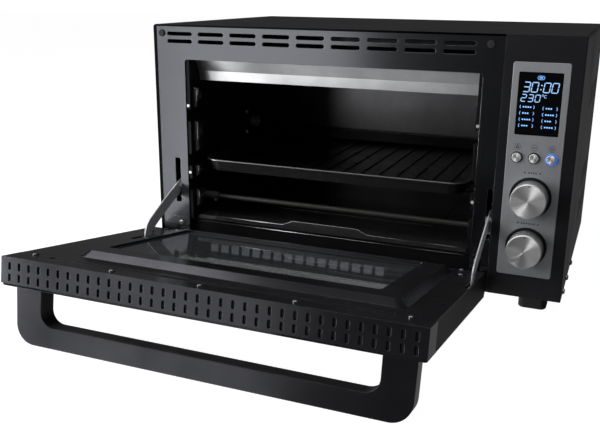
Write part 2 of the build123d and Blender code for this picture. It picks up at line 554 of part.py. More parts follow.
FAN_X, FAN_R, BLADES = DISH_X + 4.0, 25.0, 8
with BuildPart() as fan_wheel:
    disc(side(FAN_X + 10), FAN_Y, FAN_Z, FAN_R, 1.0)
    disc(side(FAN_X), FAN_Y, FAN_Z, 5.0, 11.0)
    with BuildSketch(side(FAN_X)) as blades:
        with Locations((FAN_Y, FAN_Z)):
            with PolarLocations(FAN_R / 2 + 1.5, BLADES):
                Rectangle(FAN_R - 5, 1.0)
    extrude(blades.sketch, amount=10.5)
    disc(side(FAN_X + 10), FAN_Y, FAN_Z, 2.5, 22.0)
finish(fan_wheel.part, "fan_wheel")

with BuildPart() as fan_motor:
    disc(side(DISH_X + DISH_DEEP), FAN_Y, FAN_Z, 22.0, 26.0)
    chamfer(fan_motor.edges().filter_by(GeomType.CIRCLE), 2.0)
    disc(side(DISH_X + DISH_DEEP - 1), FAN_Y, FAN_Z, 2.5 + RUN, 16.0, Mode.SUBTRACT)
finish(fan_motor.part, "fan_motor")

with BuildPart() as temperature_probe:
    disc(side(CAVITY_R - 40), FRONT + 300, BASE + 206, 2.0, 40.0)
    fillet(temperature_probe.edges().group_by(Axis.X)[0], 1.5)
finish(temperature_probe.part, "temperature_probe")

# ---------------------------------------------------------------- trays

# Shallow enamelled pan with a beaded rim, ribs in its floor and side wings that run in the middle guides.
PAN_WALL = 0.9
RIB_PITCH, RIBS = 24.0, 13
RUNNER_Z = GROOVE_Z[1] - GROOVE_H / 2 + 0.1
with BuildPart() as baking_tray:
    slab(level(TRAY_Z), TRAY_L, TRAY_R, TRAY_F, TRAY_F + TRAY_D, 1.3, radius=24.0)
    fillet(baking_tray.edges(), 0.6)
    slab(level(TRAY_Z), TRAY_L + 3, TRAY_R - 3, TRAY_F + 3, TRAY_F + TRAY_D - 5, -TRAY_DEEP,
         radius=21, taper=14)
    slab(level(TRAY_Z + 2), TRAY_L + 4, TRAY_R - 4, TRAY_F + 4, TRAY_F + TRAY_D - 6,
         -TRAY_DEEP - 2 + PAN_WALL, Mode.SUBTRACT, radius=20, taper=12)
    for edge, inner in ((TRAY_L - WING, TRAY_L + 1), (TRAY_R - 1, TRAY_R + WING)):
        slab(level(TRAY_Z), edge, inner, TRAY_F + 70, TRAY_F + TRAY_D - 30, 1.3)
    for x in (TRAY_L - WING + 0.4, TRAY_R + WING - 3.4):
        slab(level(RUNNER_Z), x, x + 3, TRAY_F + 72, TRAY_F + TRAY_D - 32, TRAY_Z + 0.3 - RUNNER_Z)
    with BuildSketch(level(TRAY_Z - TRAY_DEEP + PAN_WALL - 0.2)) as ribs:
        with Locations((0.5 * (TRAY_L + TRAY_R), TRAY_F + TRAY_D / 2)):
            with GridLocations(RIB_PITCH, 1, RIBS, 1):
                SlotOverall(TRAY_D - 60, 8.0, rotation=90)
    extrude(ribs.sketch, amount=1.6, taper=30)
finish(baking_tray.part, "baking_tray")

# Crumb tray on the chamber's floor, with a low lip raised in the middle as a finger grip.
LIP, LIP_UP, LIP_SLOPE = 5.2, 11.5, 14.0
GRIP_L, GRIP_R = LEFT + 180.0, LEFT + 296.0
CRUMB_Z = CAVITY_B + 0.1
with BuildPart() as crumb_tray:
    slab(level(CRUMB_Z), CRUMB_L, CRUMB_R, CRUMB_F, CRUMB_F + CRUMB_D, WALL)
    with BuildSketch(front(CRUMB_F + WALL)) as lip:
        with BuildLine():
            Polyline(
                (CRUMB_L, CRUMB_Z), (CRUMB_L, CRUMB_Z + LIP), (GRIP_L, CRUMB_Z + LIP),
                (GRIP_L + LIP_SLOPE, CRUMB_Z + LIP_UP), (GRIP_R - LIP_SLOPE, CRUMB_Z + LIP_UP),
                (GRIP_R, CRUMB_Z + LIP), (CRUMB_R, CRUMB_Z + LIP), (CRUMB_R, CRUMB_Z), (CRUMB_L, CRUMB_Z),
            )
        make_face()
    extrude(lip.sketch, amount=WALL)
    for x in (CRUMB_L, CRUMB_R - WALL):
        slab(level(CRUMB_Z), x, x + WALL, CRUMB_F, CRUMB_F + CRUMB_D, 4.0)
    slab(level(CRUMB_Z), CRUMB_L, CRUMB_R, CRUMB_F + CRUMB_D - WALL, CRUMB_F + CRUMB_D, 4.0)
    slab(level(CRUMB_Z + WALL), LEFT + 129, LEFT + 366, FRONT + 96, FRONT + 250, 1.2, radius=10, taper=30)
finish(crumb_tray.part, "crumb_tray")

# ---------------------------------------------------------------- door

RAIL = 1.2
FRAME_IN, FRAME_OUT = 1.0, 28.2
FRAME_TOP = DOOR_LEN - 1.6
CAP_REACH = 30.0
FLANGE_UP = 276.0
ARM_SLOT_UP, ARM_SLOT_HALF = (60.0, 112.0), (3.5, 2.5)
DOOR_SCREWS = (
    (LEFT + 14.0, 269.0), (LEFT + 426.0, 271.7), (LEFT + 122.0, 284.0), (LEFT + 222.5, 284.0),
    (LEFT + 321.5, 284.0), (LEFT + 426.0, 45.0), (LEFT + 14.0, 45.0), (LEFT + 421.0, 15.0),
    (LEFT + 36.0, 15.0),
)
HANDLE_MID = 0.5 * (HANDLE_NEAR + HANDLE_FAR) - 1.0
HANDLE_SCREW_X = (HANDLE_L + 10, HANDLE_L + 24, HANDLE_R - 24, HANDLE_R - 10)
TAB_HALF = 3.4
NOTCH_UP, NOTCH_DEEP = HINGE_UP + 9.0, HINGE_IN + 8.5


def hinge_notches():
    """Clear the tabs of the hinge brackets at both lower corners."""
    for tab in TAB_X:
        slab(door(-1), tab - TAB_HALF, tab + TAB_HALF, -2, NOTCH_UP, NOTCH_DEEP + 1, Mode.SUBTRACT)


def arm_slots(depth):
    """Clear the stay arms where they leave the door."""
    for x, half in zip(ARM_X, ARM_SLOT_HALF):
        slab(door(-1), x - half, x + half, *ARM_SLOT_UP, depth + 1, Mode.SUBTRACT)


# Folded steel body of the door, open towards both faces.
with BuildPart() as door_frame:
    slab(door(FRAME_IN), DOOR_L + 0.7, DOOR_R - 0.7, 0, FRAME_TOP, FRAME_OUT - FRAME_IN)
    ROUND = door_frame.edges().filter_by(Axis.X).sort_by_distance(DOOR_EDGE)[0]
    fillet(ROUND, 8.0)
    IN_L, IN_R = DOOR_L + 0.7 + RAIL, DOOR_R - 0.7 - RAIL
    with BuildSketch(door_side(IN_L)) as hollow:
        with BuildLine():
            low = Line((FRAME_TOP - RAIL, FRAME_IN + RAIL), (8.5, FRAME_IN + RAIL))
            bend = TangentArc(low @ 1, (RAIL, FRAME_IN + 8.5), tangent=low % 1)
            up = Line(bend @ 1, (RAIL, FRAME_OUT - RAIL))
            out = Line(up @ 1, (FRAME_TOP - RAIL, FRAME_OUT - RAIL))
            Line(out @ 1, low @ 0)
        make_face()
    extrude(hollow.sketch, amount=IN_R - IN_L, mode=Mode.SUBTRACT)
    slab(door(-1), LEFT + 20, LEFT + 418, 22, FLANGE_UP, 5, Mode.SUBTRACT)
    slab(door(FRAME_OUT - 4), DOOR_L + 9, DOOR_R - 9, 14, HANDLE_NEAR - 6, 5, Mode.SUBTRACT)
    BOTTOM_VENTS = [(LEFT + 60 + i * 16.5, 18.0) for i in range(21)]
    with BuildSketch(door_end(3)) as vents:
        with Locations(*BOTTOM_VENTS):
            Rectangle(11.5, 9.0)
    extrude(vents.sketch, amount=4, mode=Mode.SUBTRACT)
    hinge_notches()
    arm_slots(4.0)
    for x, up in DOOR_SCREWS:
        disc(door(-1), x, up, 1.5, 5, Mode.SUBTRACT)
    for x in HANDLE_SCREW_X:
        disc(door(FRAME_OUT - 4), x, HANDLE_MID, 2.2, 6, Mode.SUBTRACT)
finish(door_frame.part, "door_frame")

# Slotted cap along the top edge, wrapping round both corners.
CAP_T = 1.4
CAP_ROWS = (0.30 * DOOR_THICK, 0.695 * DOOR_THICK)
with BuildPart() as door_top_cap:
    slab(door(0), DOOR_L, DOOR_R, DOOR_LEN - CAP_REACH, DOOR_LEN, FRAME_OUT)
    slab(door(-1), DOOR_L + 0.6, DOOR_R - 0.6, DOOR_LEN - CAP_REACH - 1, DOOR_LEN - CAP_T, FRAME_OUT + 2,
         Mode.SUBTRACT)
    COLUMNS = [
        (LEFT + 4.3 + i * SLOT_PITCH, depth) for i in range(SLOT_COLUMNS) for depth in CAP_ROWS
    ]
    slots(door_end(DOOR_LEN - 3), COLUMNS, 8.6, 3.5, 5.0, turn=90)
finish(door_top_cap.part, "door_top_cap")

# Outer glass over the whole front of the door.
GLASS_OUT = DOOR_THICK - FRAME_OUT
with BuildPart() as door_outer_glass:
    slab(door(FRAME_OUT), DOOR_L + 0.4, DOOR_R - 0.4, 0.5, DOOR_LEN - 0.6, GLASS_OUT, radius=3.0)
    chamfer(door_outer_glass.faces().sort_by(Axis.Z)[0].edges(), 0.5)
    for x in HANDLE_SCREW_X:
        disc(door(FRAME_OUT - 1), x, HANDLE_MID, 2.2, 6, Mode.SUBTRACT)
finish(door_outer_glass.part, "door_outer_glass")

# Inner sheet of the door with a long pressed groove near its free edge.
PANEL_T, PRESS_UP, PRESS_W = 1.0, 271.4, 6.6
PRESS_L, PRESS_R = LEFT + 35.0, LEFT + 412.0
with BuildPart() as door_inner_panel:
    slab(door(0), DOOR_L + 0.7, DOOR_R - 0.7, 9, DOOR_LEN - CAP_T, PANEL_T)
    for deep, grow, mode in ((PANEL_T + 1.5, 1.0, Mode.ADD), (1.5, 0.0, Mode.SUBTRACT)):
        with BuildSketch(door(0 if mode == Mode.SUBTRACT else PANEL_T / 2)) as groove:
            with Locations((0.5 * (PRESS_L + PRESS_R), PRESS_UP)):
                SlotOverall(PRESS_R - PRESS_L + 2 * grow, PRESS_W + 2 * grow)
        extrude(groove.sketch, amount=deep if mode == Mode.SUBTRACT else deep - PANEL_T / 2, mode=mode)
    slab(door(-1), GLASS_L + 1.5, GLASS_R - 1.5, GLASS_NEAR + 1.5, GLASS_FAR - 1.5, 5,
         Mode.SUBTRACT, radius=4)
    hinge_notches()
    arm_slots(3.0)
    for x, up in DOOR_SCREWS:
        disc(door(-1), x, up, 1.5, 5, Mode.SUBTRACT)
finish(door_inner_panel.part, "door_inner_panel")

# Raised rim that fills the mouth when the door is closed, with the inner glass let in behind it.
BEZEL_L, BEZEL_R, BEZEL_NEAR, BEZEL_FAR = LEFT + 48.0, LEFT + 414.5, 26.0, 246.0
SLOPE, SEAT, LEDGE = 9.0, 4.5, 6.0
with BuildPart() as door_bezel:
    with BuildSketch(door_inside()) as foot:
        with Locations((0.5 * (BEZEL_L + BEZEL_R), -0.5 * (BEZEL_NEAR + BEZEL_FAR))):
            RectangleRounded(BEZEL_R - BEZEL_L, BEZEL_FAR - BEZEL_NEAR, 12.0)
    with BuildSketch(door_inside().offset(BEZEL_H)) as crown:
        with Locations((0.5 * (BEZEL_L + BEZEL_R), -0.5 * (BEZEL_NEAR + BEZEL_FAR - SLOPE / 2))):
            RectangleRounded(BEZEL_R - BEZEL_L - 2 * SLOPE, BEZEL_FAR - BEZEL_NEAR - 1.5 * SLOPE, 6.0)
    loft(sections=[foot.sketch, crown.sketch])
    slab(door(0), GLASS_L - LEDGE, GLASS_R + LEDGE, GLASS_NEAR - LEDGE / 2, GLASS_FAR + LEDGE, -SEAT,
         Mode.SUBTRACT)
    slab(door(0), GLASS_R + LEDGE + 3, BEZEL_R - SLOPE - 4, BEZEL_NEAR + 14, BEZEL_FAR - 20, -SEAT,
         Mode.SUBTRACT)
    slab(door(0), BEZEL_L + 20, GLASS_R - 4, GLASS_FAR + LEDGE + 3, BEZEL_FAR - SLOPE - 3, -SEAT,
         Mode.SUBTRACT)
    slab(door(1), GLASS_L, GLASS_R, GLASS_NEAR, GLASS_FAR, -20, Mode.SUBTRACT, radius=4.0)
finish(door_bezel.part, "door_bezel")

GASKET = 0.5
with BuildPart() as door_inner_glass:
    slab(door(-GASKET), GLASS_L - LEDGE + 0.2, GLASS_R + LEDGE - 0.2, GLASS_NEAR - LEDGE / 2 + 0.2,
         GLASS_FAR + LEDGE - 0.2, GASKET - SEAT)
finish(door_inner_glass.part, "door_inner_glass")

with BuildPart() as door_gasket:
    slab(door(-GASKET), GLASS_L - LEDGE + 0.2, GLASS_R + LEDGE - 0.2, GLASS_NEAR - LEDGE / 2 + 0.2,
         GLASS_FAR + LEDGE - 0.2, GASKET)
    slab(door(-1), GLASS_L + 1.5, GLASS_R - 1.5, GLASS_NEAR + 1.5, GLASS_FAR - 1.5, 5,
         Mode.SUBTRACT, radius=4)
finish(door_gasket.part, "door_gasket")

with BuildPart() as door_screws:
    for x, up in DOOR_SCREWS:
        pan_head(door_inside(), x, -up, 3.5, 1.7, 5.0)
finish(door_screws.part, "door_screws")

# Clevis blocks in the lower corners of the door, turning on the hinge pins.
BLOCK_HALF, BLOCK_UP = 8.4, (5.0, 26.5)
with BuildPart() as hinge_blocks:
    for tab in TAB_X:
        with BuildSketch(door_side(tab - BLOCK_HALF)) as block:
            with Locations((0.5 * sum(BLOCK_UP), 17.5)):
                Rectangle(BLOCK_UP[1] - BLOCK_UP[0], 19.0)
        extrude(block.sketch, amount=2 * BLOCK_HALF)
        slab(door(-1), tab - TAB_HALF, tab + TAB_HALF, -2, NOTCH_UP, NOTCH_DEEP + 1, Mode.SUBTRACT)
        disc(door_side(tab - 12), HINGE_UP, HINGE_IN, PIN_R + RUN, 24, Mode.SUBTRACT)
finish(hinge_blocks.part, "hinge_blocks")

# Pins that carry the stay arms, each in a small bracket behind the inner sheet.
EYE_R = 2.5
PIN_SPANS = ((ARM_X[0] - 6.0, ARM_X[0] + 6.0), (ARM_X[1] - 5.0, DOOR_R - 0.7 - RAIL))
PLATE_X = ((ARM_X[0] - 6.0, 1.0), (ARM_X[0] + 4.2, 1.0), (ARM_X[1] - 5.0, FRAME_IN + RAIL))
with BuildPart() as arm_pins:
    for x0, x1 in PIN_SPANS:
        disc(door_side(x0), ARM_UP, ARM_IN, EYE_R, x1 - x0)
    for x, depth in PLATE_X:
        with BuildSketch(door_side(x)) as plate:
            with Locations((ARM_UP, 0.5 * (depth + 15.0))):
                Rectangle(16.0, 15.0 - depth)
        extrude(plate.sketch, amount=1.8)
finish(arm_pins.part, "arm_pins")

# Loop handle: two legs and a bar, in plastic, behind a metal face and inside a metal band.
HANDLE_TOP, HANDLE_END = DOOR_THICK, DOOR_THICK + HANDLE_DROP
LOOP_L, LOOP_R, LOOP_END = LEFT + 35.6, LEFT + 406.5, 71.4
FACE_T, BAND_T, BAND_NEAR = 2.2, 1.6, 2.4


def handle_outline(up, thick, inset=0.0, mode=Mode.ADD):
    """A layer of the handle's filled outline, from a distance up the door towards its hinged edge."""
    left, right, end = HANDLE_L + inset, HANDLE_R - inset, HANDLE_END - inset
    with BuildSketch(door_end(up)) as loop:
        with BuildLine():
            Polyline(
                (left, HANDLE_TOP), (left + 2.1, end), (right - 1.1, end), (right, HANDLE_TOP),
                (left, HANDLE_TOP),
            )
        make_face()
        fillet(loop.vertices().sort_by(Axis.Y)[-2:], 22.0 - inset)
    extrude(loop.sketch, amount=thick, mode=mode)


def handle_hole(grow=0.0):
    """Cut the finger opening between the legs, right through the handle."""
    with BuildSketch(door_end(HANDLE_FAR + 5)) as hole:
        with BuildLine():
            Polyline(
                (LOOP_L - grow, HANDLE_TOP - 5), (LOOP_L - grow, LOOP_END + grow),
                (LOOP_R + grow, LOOP_END + grow),
                (LOOP_R + grow, HANDLE_TOP - 5), (LOOP_L - grow, HANDLE_TOP - 5),
            )
        make_face()
        fillet(hole.vertices().sort_by(Axis.Y)[-2:], 16.0 + grow)
    extrude(hole.sketch, amount=HANDLE_FAR - HANDLE_NEAR + 10, mode=Mode.SUBTRACT)


with BuildPart() as handle_face:
    handle_outline(HANDLE_FAR, FACE_T)
    handle_hole()
finish(handle_face.part, "handle_face")

with BuildPart() as handle_body:
    handle_outline(HANDLE_FAR - FACE_T, HANDLE_FAR - FACE_T - HANDLE_NEAR, BAND_T)
    handle_hole()
    for x in HANDLE_SCREW_X:
        disc(door(HANDLE_TOP - 1), x, HANDLE_MID, 1.8, 16, Mode.SUBTRACT)
finish(handle_body.part, "handle_body")

with BuildPart() as handle_trim:
    handle_outline(HANDLE_FAR - FACE_T, HANDLE_FAR - FACE_T - HANDLE_NEAR - BAND_NEAR)
    handle_outline(HANDLE_FAR, HANDLE_FAR - HANDLE_NEAR, BAND_T, Mode.SUBTRACT)
finish(handle_trim.part, "handle_trim")

with BuildPart() as handle_screws:
    for x in HANDLE_SCREW_X:
        disc(door(FRAME_OUT - RAIL - 2.4), x, HANDLE_MID, 4.0, 2.4)
        disc(door(FRAME_OUT - RAIL - 1), x, HANDLE_MID, 1.8, 19.0)
finish(handle_screws.part, "handle_screws")

# ---------------------------------------------------------------- stay arms

# Flat bars pivoted in the door that bow back through the front frame, with a stop stud behind it.
ARM_PIVOT = DOOR_EDGE + DOOR_UP * ARM_UP + DOOR_OUT * ARM_IN
ARM_Y, ARM_Z = ARM_PIVOT.Y, ARM_PIVOT.Z
ARM_END = (FRONT + 13.0, BASE + 89.4)
STUD_Y, STUD_Z = FRONT + 6.6, BASE + 86.9
for name, x in (("left_stay_arm", ARM_X[0]), ("right_stay_arm", ARM_X[1])):
    with BuildPart() as arm:
        with BuildSketch(side(x - ARM_THICK / 2)) as bar:
            with BuildLine() as spine:
                neck = Line((ARM_Y, ARM_Z), (ARM_Y, ARM_Z + 8))
                elbow = TangentArc(neck @ 1, (ARM_Y + 8.5, ARM_Z + 22.1), tangent=neck % 1)
                TangentArc(elbow @ 1, ARM_END, tangent=elbow % 1)
            trace(spine.line, ARM_WIDE)
            with Locations((ARM_Y, ARM_Z), ARM_END):
                Circle(ARM_WIDE / 2)
        extrude(bar.sketch, amount=ARM_THICK)
        disc(side(x - 4), STUD_Y, STUD_Z, 4.0, 8)
        disc(side(x - 5), ARM_Y, ARM_Z, EYE_R + RUN, 10, Mode.SUBTRACT)
    finish(arm.part, name)

# ---------------------------------------------------------------- screws

LEFT_FACE = Plane(origin=(LEFT, 0, 0), x_dir=(0, -1, 0), z_dir=(-1, 0, 0))
REAR_FACE = Plane(origin=(0, REAR, 0), x_dir=(-1, 0, 0), z_dir=(0, 1, 0))
with BuildPart() as cabinet_screws:
    for y in SIDE_SCREW_Y:
        pan_head(side(RIGHT), y, SCREW_LOW_Z, 3.4, 2.8, 4.0, 1.6)
        pan_head(LEFT_FACE, -y, SCREW_LOW_Z, 3.4, 2.8, 4.0, 1.6)
    for x, z in BACK_SCREWS:
        pan_head(REAR_FACE, -x, z, 3.4, 2.4, 4.0, 1.6)
    for x, z in BRACKET_SCREWS:
        pan_head(front(FRONT), x, z, 3.4, 1.7, 3.5, 1.5)
finish(cabinet_screws.part, "cabinet_screws")

with BuildPart() as liner_screws:
    for x, z in LIP_SCREWS:
        disc(front(CAVITY_F), x, z, 1.9, 0.9)
        disc(front(CAVITY_F), x, z, 1.0, -2.0)
    for y, z in WALL_SCREWS:
        pan_head(side(CAVITY_L), y, z, 3.4, 2.4, 3.0, 1.5)
finish(liner_screws.part, "liner_screws")
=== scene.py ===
"""Looks for the toaster oven: procedural materials, printed and lit details, and a studio."""

import math

import bmesh
import bpy
from mathutils import Matrix, Vector


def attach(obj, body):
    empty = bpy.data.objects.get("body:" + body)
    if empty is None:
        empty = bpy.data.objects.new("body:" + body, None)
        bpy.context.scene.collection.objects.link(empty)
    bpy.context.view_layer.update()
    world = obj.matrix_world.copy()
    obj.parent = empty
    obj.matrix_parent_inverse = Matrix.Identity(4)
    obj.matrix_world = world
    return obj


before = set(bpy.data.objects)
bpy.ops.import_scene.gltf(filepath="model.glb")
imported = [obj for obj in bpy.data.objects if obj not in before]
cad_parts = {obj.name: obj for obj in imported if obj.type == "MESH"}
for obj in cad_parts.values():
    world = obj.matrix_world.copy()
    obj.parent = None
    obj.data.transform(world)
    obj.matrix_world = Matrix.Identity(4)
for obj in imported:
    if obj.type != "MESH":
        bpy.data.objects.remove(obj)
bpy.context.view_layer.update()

MM = 0.001
# The cabinet's left side, front face and underside, then the middle line of its control panel.
LEFT, FRONT, BASE = -0.264, -0.0315, 0.025
PANEL_X = LEFT + 0.489
# The open door stops a little short of level. Up runs from its hinged edge to its top edge, and out towards
# its outer face, which is underneath when the door is open.
TILT = math.radians(9.35)
DOOR_UP = Vector((0, -math.cos(TILT), math.sin(TILT)))
DOOR_OUT = Vector((0, -math.sin(TILT), -math.cos(TILT)))
# The hinge's pin, and the door's hinged edge on its inner face.
HINGE = Vector((0, FRONT - 0.0185, BASE + 0.013))
DOOR_EDGE = HINGE - DOOR_UP * 0.013 - DOOR_OUT * 0.0164


# ---------------------------------------------------------------- materials


class Look:
    """A Principled material with helpers that add procedural detail in object coordinates, in metres."""

    def __init__(self, name, color, metallic=0.0, roughness=0.5, **direct):
        self.mat = bpy.data.materials.new(name)
        self.mat.use_nodes = True
        self.tree = self.mat.node_tree
        self.shader = self.tree.nodes["Principled BSDF"]
        self.shader.inputs["Base Color"].default_value = (*color, 1.0)
        self.shader.inputs["Metallic"].default_value = metallic
        self.shader.inputs["Roughness"].default_value = roughness
        for key, value in direct.items():
            self.shader.inputs[key.replace("_", " ")].default_value = value
        self.color = color
        self.coords = self.node("ShaderNodeTexCoord").outputs["Object"]

    def node(self, kind, **props):
        """A new shader node with its own settings."""
        item = self.tree.nodes.new(kind)
        for key, value in props.items():
            setattr(item, key, value)
        return item

    def link(self, source, target):
        self.tree.links.new(source, target)

    def stretched(self, stretch):
        """The object coordinates, scaled along each axis."""
        mapping = self.node("ShaderNodeMapping")
        mapping.inputs["Scale"].default_value = stretch
        self.link(self.coords, mapping.inputs["Vector"])
        return mapping.outputs["Vector"]

    def noise(self, scale, detail=3.0, stretch=(1, 1, 1)):
        """Smooth noise from 0 to 1, with its scale per metre."""
        item = self.node("ShaderNodeTexNoise")
        item.inputs["Scale"].default_value = scale
        item.inputs["Detail"].default_value = detail
        item.inputs["Roughness"].default_value = 0.55
        self.link(self.stretched(stretch), item.inputs["Vector"])
        return item.outputs["Fac"]

    def ranged(self, fac, low, high, start=0.3, stop=0.7):
        """A value that goes from low to high as fac goes from start to stop."""
        item = self.node("ShaderNodeMapRange")
        item.inputs["From Min"].default_value = start
        item.inputs["From Max"].default_value = stop
        item.inputs["To Min"].default_value = low
        item.inputs["To Max"].default_value = high
        self.link(fac, item.inputs["Value"])
        return item.outputs["Result"]

    def rough(self, fac, low, high, start=0.3, stop=0.7):
        """Vary the roughness from low to high."""
        self.link(self.ranged(fac, low, high, start, stop), self.shader.inputs["Roughness"])

    def tint(self, fac, low, high, start=0.3, stop=0.7):
        """Vary the base colour from low to high."""
        ramp = self.node("ShaderNodeValToRGB")
        ramp.color_ramp.elements[0].color = (*low, 1.0)
        ramp.color_ramp.elements[1].color = (*high, 1.0)
        self.link(self.ranged(fac, 0.0, 1.0, start, stop), ramp.inputs["Fac"])
        self.link(ramp.outputs["Color"], self.shader.inputs["Base Color"])

    def bump(self, fac, strength, distance, soften):
        """Relief from fac, on edges rounded by soften where it isn't zero."""
        item = self.node("ShaderNodeBump")
        item.inputs["Strength"].default_value = strength
        item.inputs["Distance"].default_value = distance
        self.link(fac, item.inputs["Height"])
        if soften:
            edge = self.node("ShaderNodeBevel", samples=4)
            edge.inputs["Radius"].default_value = soften
            self.link(edge.outputs["Normal"], item.inputs["Normal"])
        self.link(item.outputs["Normal"], self.shader.inputs["Normal"])


def brushed(name, color, metallic, low, high, along=(1, 0, 0)):
    """Metal with fine straight brushing along one axis and slow blotches in its gloss."""
    look = Look(name, color, metallic, low)
    stretch = tuple(0.012 if axis else 1.0 for axis in along)
    hair = look.noise(1400.0, 3.0, stretch)
    cloud = look.noise(9.0, 2.0)
    blend = look.node("ShaderNodeMath", operation="MULTIPLY_ADD")
    look.link(hair, blend.inputs[0])
    blend.inputs[1].default_value = 0.7
    look.link(look.ranged(cloud, 0.0, 0.3), blend.inputs[2])
    look.rough(blend.outputs[0], low, high)
    look.tint(hair, tuple(c * 0.93 for c in color), tuple(min(1.0, c * 1.06) for c in color))
    look.bump(hair, 0.1, 0.00002, 0.0004)
    return look


def coated(name, color, metallic, low, high, grain=900.0, depth=0.00003, soften=0.0006, **direct):
    """Painted, enamelled or moulded surface: an even fine grain with slow changes in gloss."""
    look = Look(name, color, metallic, low, **direct)
    cloud = look.noise(7.0, 3.0)
    look.rough(cloud, low, high)
    look.tint(look.noise(24.0, 4.0), tuple(c * 0.85 for c in color), tuple(c * 1.15 for c in color))
    look.bump(look.noise(grain, 2.0), 0.3, depth, soften)
    return look


def spun(name, color):
    """Turned metal: rings round the front-to-back axis of the piece give a fan-shaped highlight."""
    look = Look(name, color, 0.8, 0.49, Anisotropic=0.95)
    tangent = look.node("ShaderNodeTangent", direction_type="RADIAL", axis="Y")
    look.link(tangent.outputs["Tangent"], look.shader.inputs["Tangent"])
    fine = look.noise(2600.0, 2.0)
    look.rough(fine, 0.46, 0.52)
    look.tint(fine, tuple(c * 0.9 for c in color), color)
    return look


def glowing(name, color, strength):
    """A dark surface that gives off light of one colour, with a faint grain."""
    look = Look(name, (0.02, 0.02, 0.02), 0.0, 0.4)
    flicker = look.noise(600.0, 1.0)
    ramp = look.node("ShaderNodeValToRGB")
    ramp.color_ramp.elements[0].color = (*(c * 0.85 for c in color), 1.0)
    ramp.color_ramp.elements[1].color = (*color, 1.0)
    look.link(flicker, ramp.inputs["Fac"])
    look.link(ramp.outputs["Color"], look.shader.inputs["Emission Color"])
    look.shader.inputs["Emission Strength"].default_value = strength
    return look


def glass(name, color, alpha, roughness, smear):
    """Flat sheet glass: mostly see-through, with a clear reflection and faint smears."""
    look = Look(name, color, 0.0, roughness, IOR=1.5)
    look.rough(look.noise(5.0, 4.0), roughness, smear)
    facing = look.node("ShaderNodeLayerWeight").outputs["Facing"]
    look.link(look.ranged(facing, alpha, 0.9, 0.45, 0.98), look.shader.inputs["Alpha"])
    return look


def door_height(look):
    """How far up the door a point is, in metres from the hinged edge."""
    dot = look.node("ShaderNodeVectorMath", operation="DOT_PRODUCT")
    look.link(look.coords, dot.inputs[0])
    dot.inputs[1].default_value = DOOR_UP
    shift = look.node("ShaderNodeMath", operation="SUBTRACT")
    look.link(dot.outputs["Value"], shift.inputs[0])
    shift.inputs[1].default_value = DOOR_EDGE.dot(DOOR_UP)
    return shift.outputs[0]


def inside(look, value, low, high, edge=0.0002):
    """1 where a value is between two limits and 0 outside, with a narrow soft edge."""
    rise = look.ranged(value, 0.0, 1.0, low - edge, low + edge)
    fall = look.ranged(value, 1.0, 0.0, high - edge, high + edge)
    both = look.node("ShaderNodeMath", operation="MULTIPLY")
    look.link(rise, both.inputs[0])
    look.link(fall, both.inputs[1])
    return both.outputs[0]


def printed_glass(name):
    """Tinted glass with a black printed border round a clear window."""
    look = Look(name, (0.012, 0.013, 0.015), 0.0, 0.05, IOR=1.5)
    look.rough(look.noise(5.0, 4.0), 0.03, 0.07)
    split = look.node("ShaderNodeSeparateXYZ")
    look.link(look.coords, split.inputs[0])
    across = inside(look, split.outputs["X"], LEFT + 0.052, LEFT + 0.392)
    up = inside(look, door_height(look), 0.012, 0.222)
    window = look.node("ShaderNodeMath", operation="MULTIPLY")
    look.link(across, window.inputs[0])
    look.link(up, window.inputs[1])
    look.link(look.ranged(window.outputs[0], 1.0, 0.3, 0.0, 1.0), look.shader.inputs["Alpha"])
    return look


def rimmed(look, left, top):
    """Darken a look outside a left and a top limit, as a black rim round a plate."""
    split = look.node("ShaderNodeSeparateXYZ")
    look.link(look.coords, split.inputs[0])
    beside = look.ranged(split.outputs["X"], 0.0, 1.0, left - 0.0002, left + 0.0002)
    below = look.ranged(split.outputs["Z"], 1.0, 0.0, top - 0.0002, top + 0.0002)
    shade = look.node("ShaderNodeMath", operation="MULTIPLY")
    look.link(beside, shade.inputs[0])
    look.link(below, shade.inputs[1])
    look.tint(shade.outputs[0], (0.012, 0.012, 0.013), look.color, 0.0, 1.0)


# After a coated look's colour come its metal, its lowest and highest roughness, the scale and depth of its
# grain, and how far its edges are softened.
satin_black = coated("satin_black_steel", (0.26, 0.27, 0.294), 1.0, 0.15, 0.18, 2600.0, 0.0000008)
rimmed(satin_black, LEFT + 0.005, BASE + 0.2975)
bracket_steel = coated("bracket_steel", (0.2, 0.207, 0.225), 1.0, 0.2, 0.24, 2600.0, 0.000001)
cap_black = coated("satin_black_cap", (0.078, 0.079, 0.088), 0.9, 0.17, 0.21, 2600.0, 0.000001)
shell_paint = coated("shell_black_paint", (0.016, 0.016, 0.019), 0.0, 0.36, 0.46, 1500.0, 0.00005)
fascia_black = coated("fascia_gloss_black", (0.011, 0.011, 0.014), 0.0, 0.3, 0.4, 2200.0, 0.00001)
plastic_black = coated("moulded_black_plastic", (0.010, 0.010, 0.011), 0.0, 0.38, 0.5, 1800.0, 0.00006)
rubber = coated("black_rubber", (0.012, 0.012, 0.012), 0.0, 0.7, 0.85, 1200.0, 0.0001)
dark_steel = brushed("dark_sheet_steel", (0.035, 0.036, 0.04), 0.9, 0.3, 0.42)
panel_steel = coated("door_panel_black", (0.04, 0.04, 0.044), 0.6, 0.2, 0.3, 1500.0, 0.00002)
enamel = coated(
    "black_enamel", (0.009, 0.009, 0.01), 0.0, 0.22, 0.3, 700.0, 0.00004, Specular_IOR_Level=0.12
)
rear_enamel = coated("rear_wall_satin", (0.42, 0.42, 0.44), 1.0, 0.26, 0.34, 700.0, 0.00004)
bezel_black = coated("bezel_black", (0.07, 0.07, 0.078), 0.85, 0.2, 0.26, 1500.0, 0.00001)
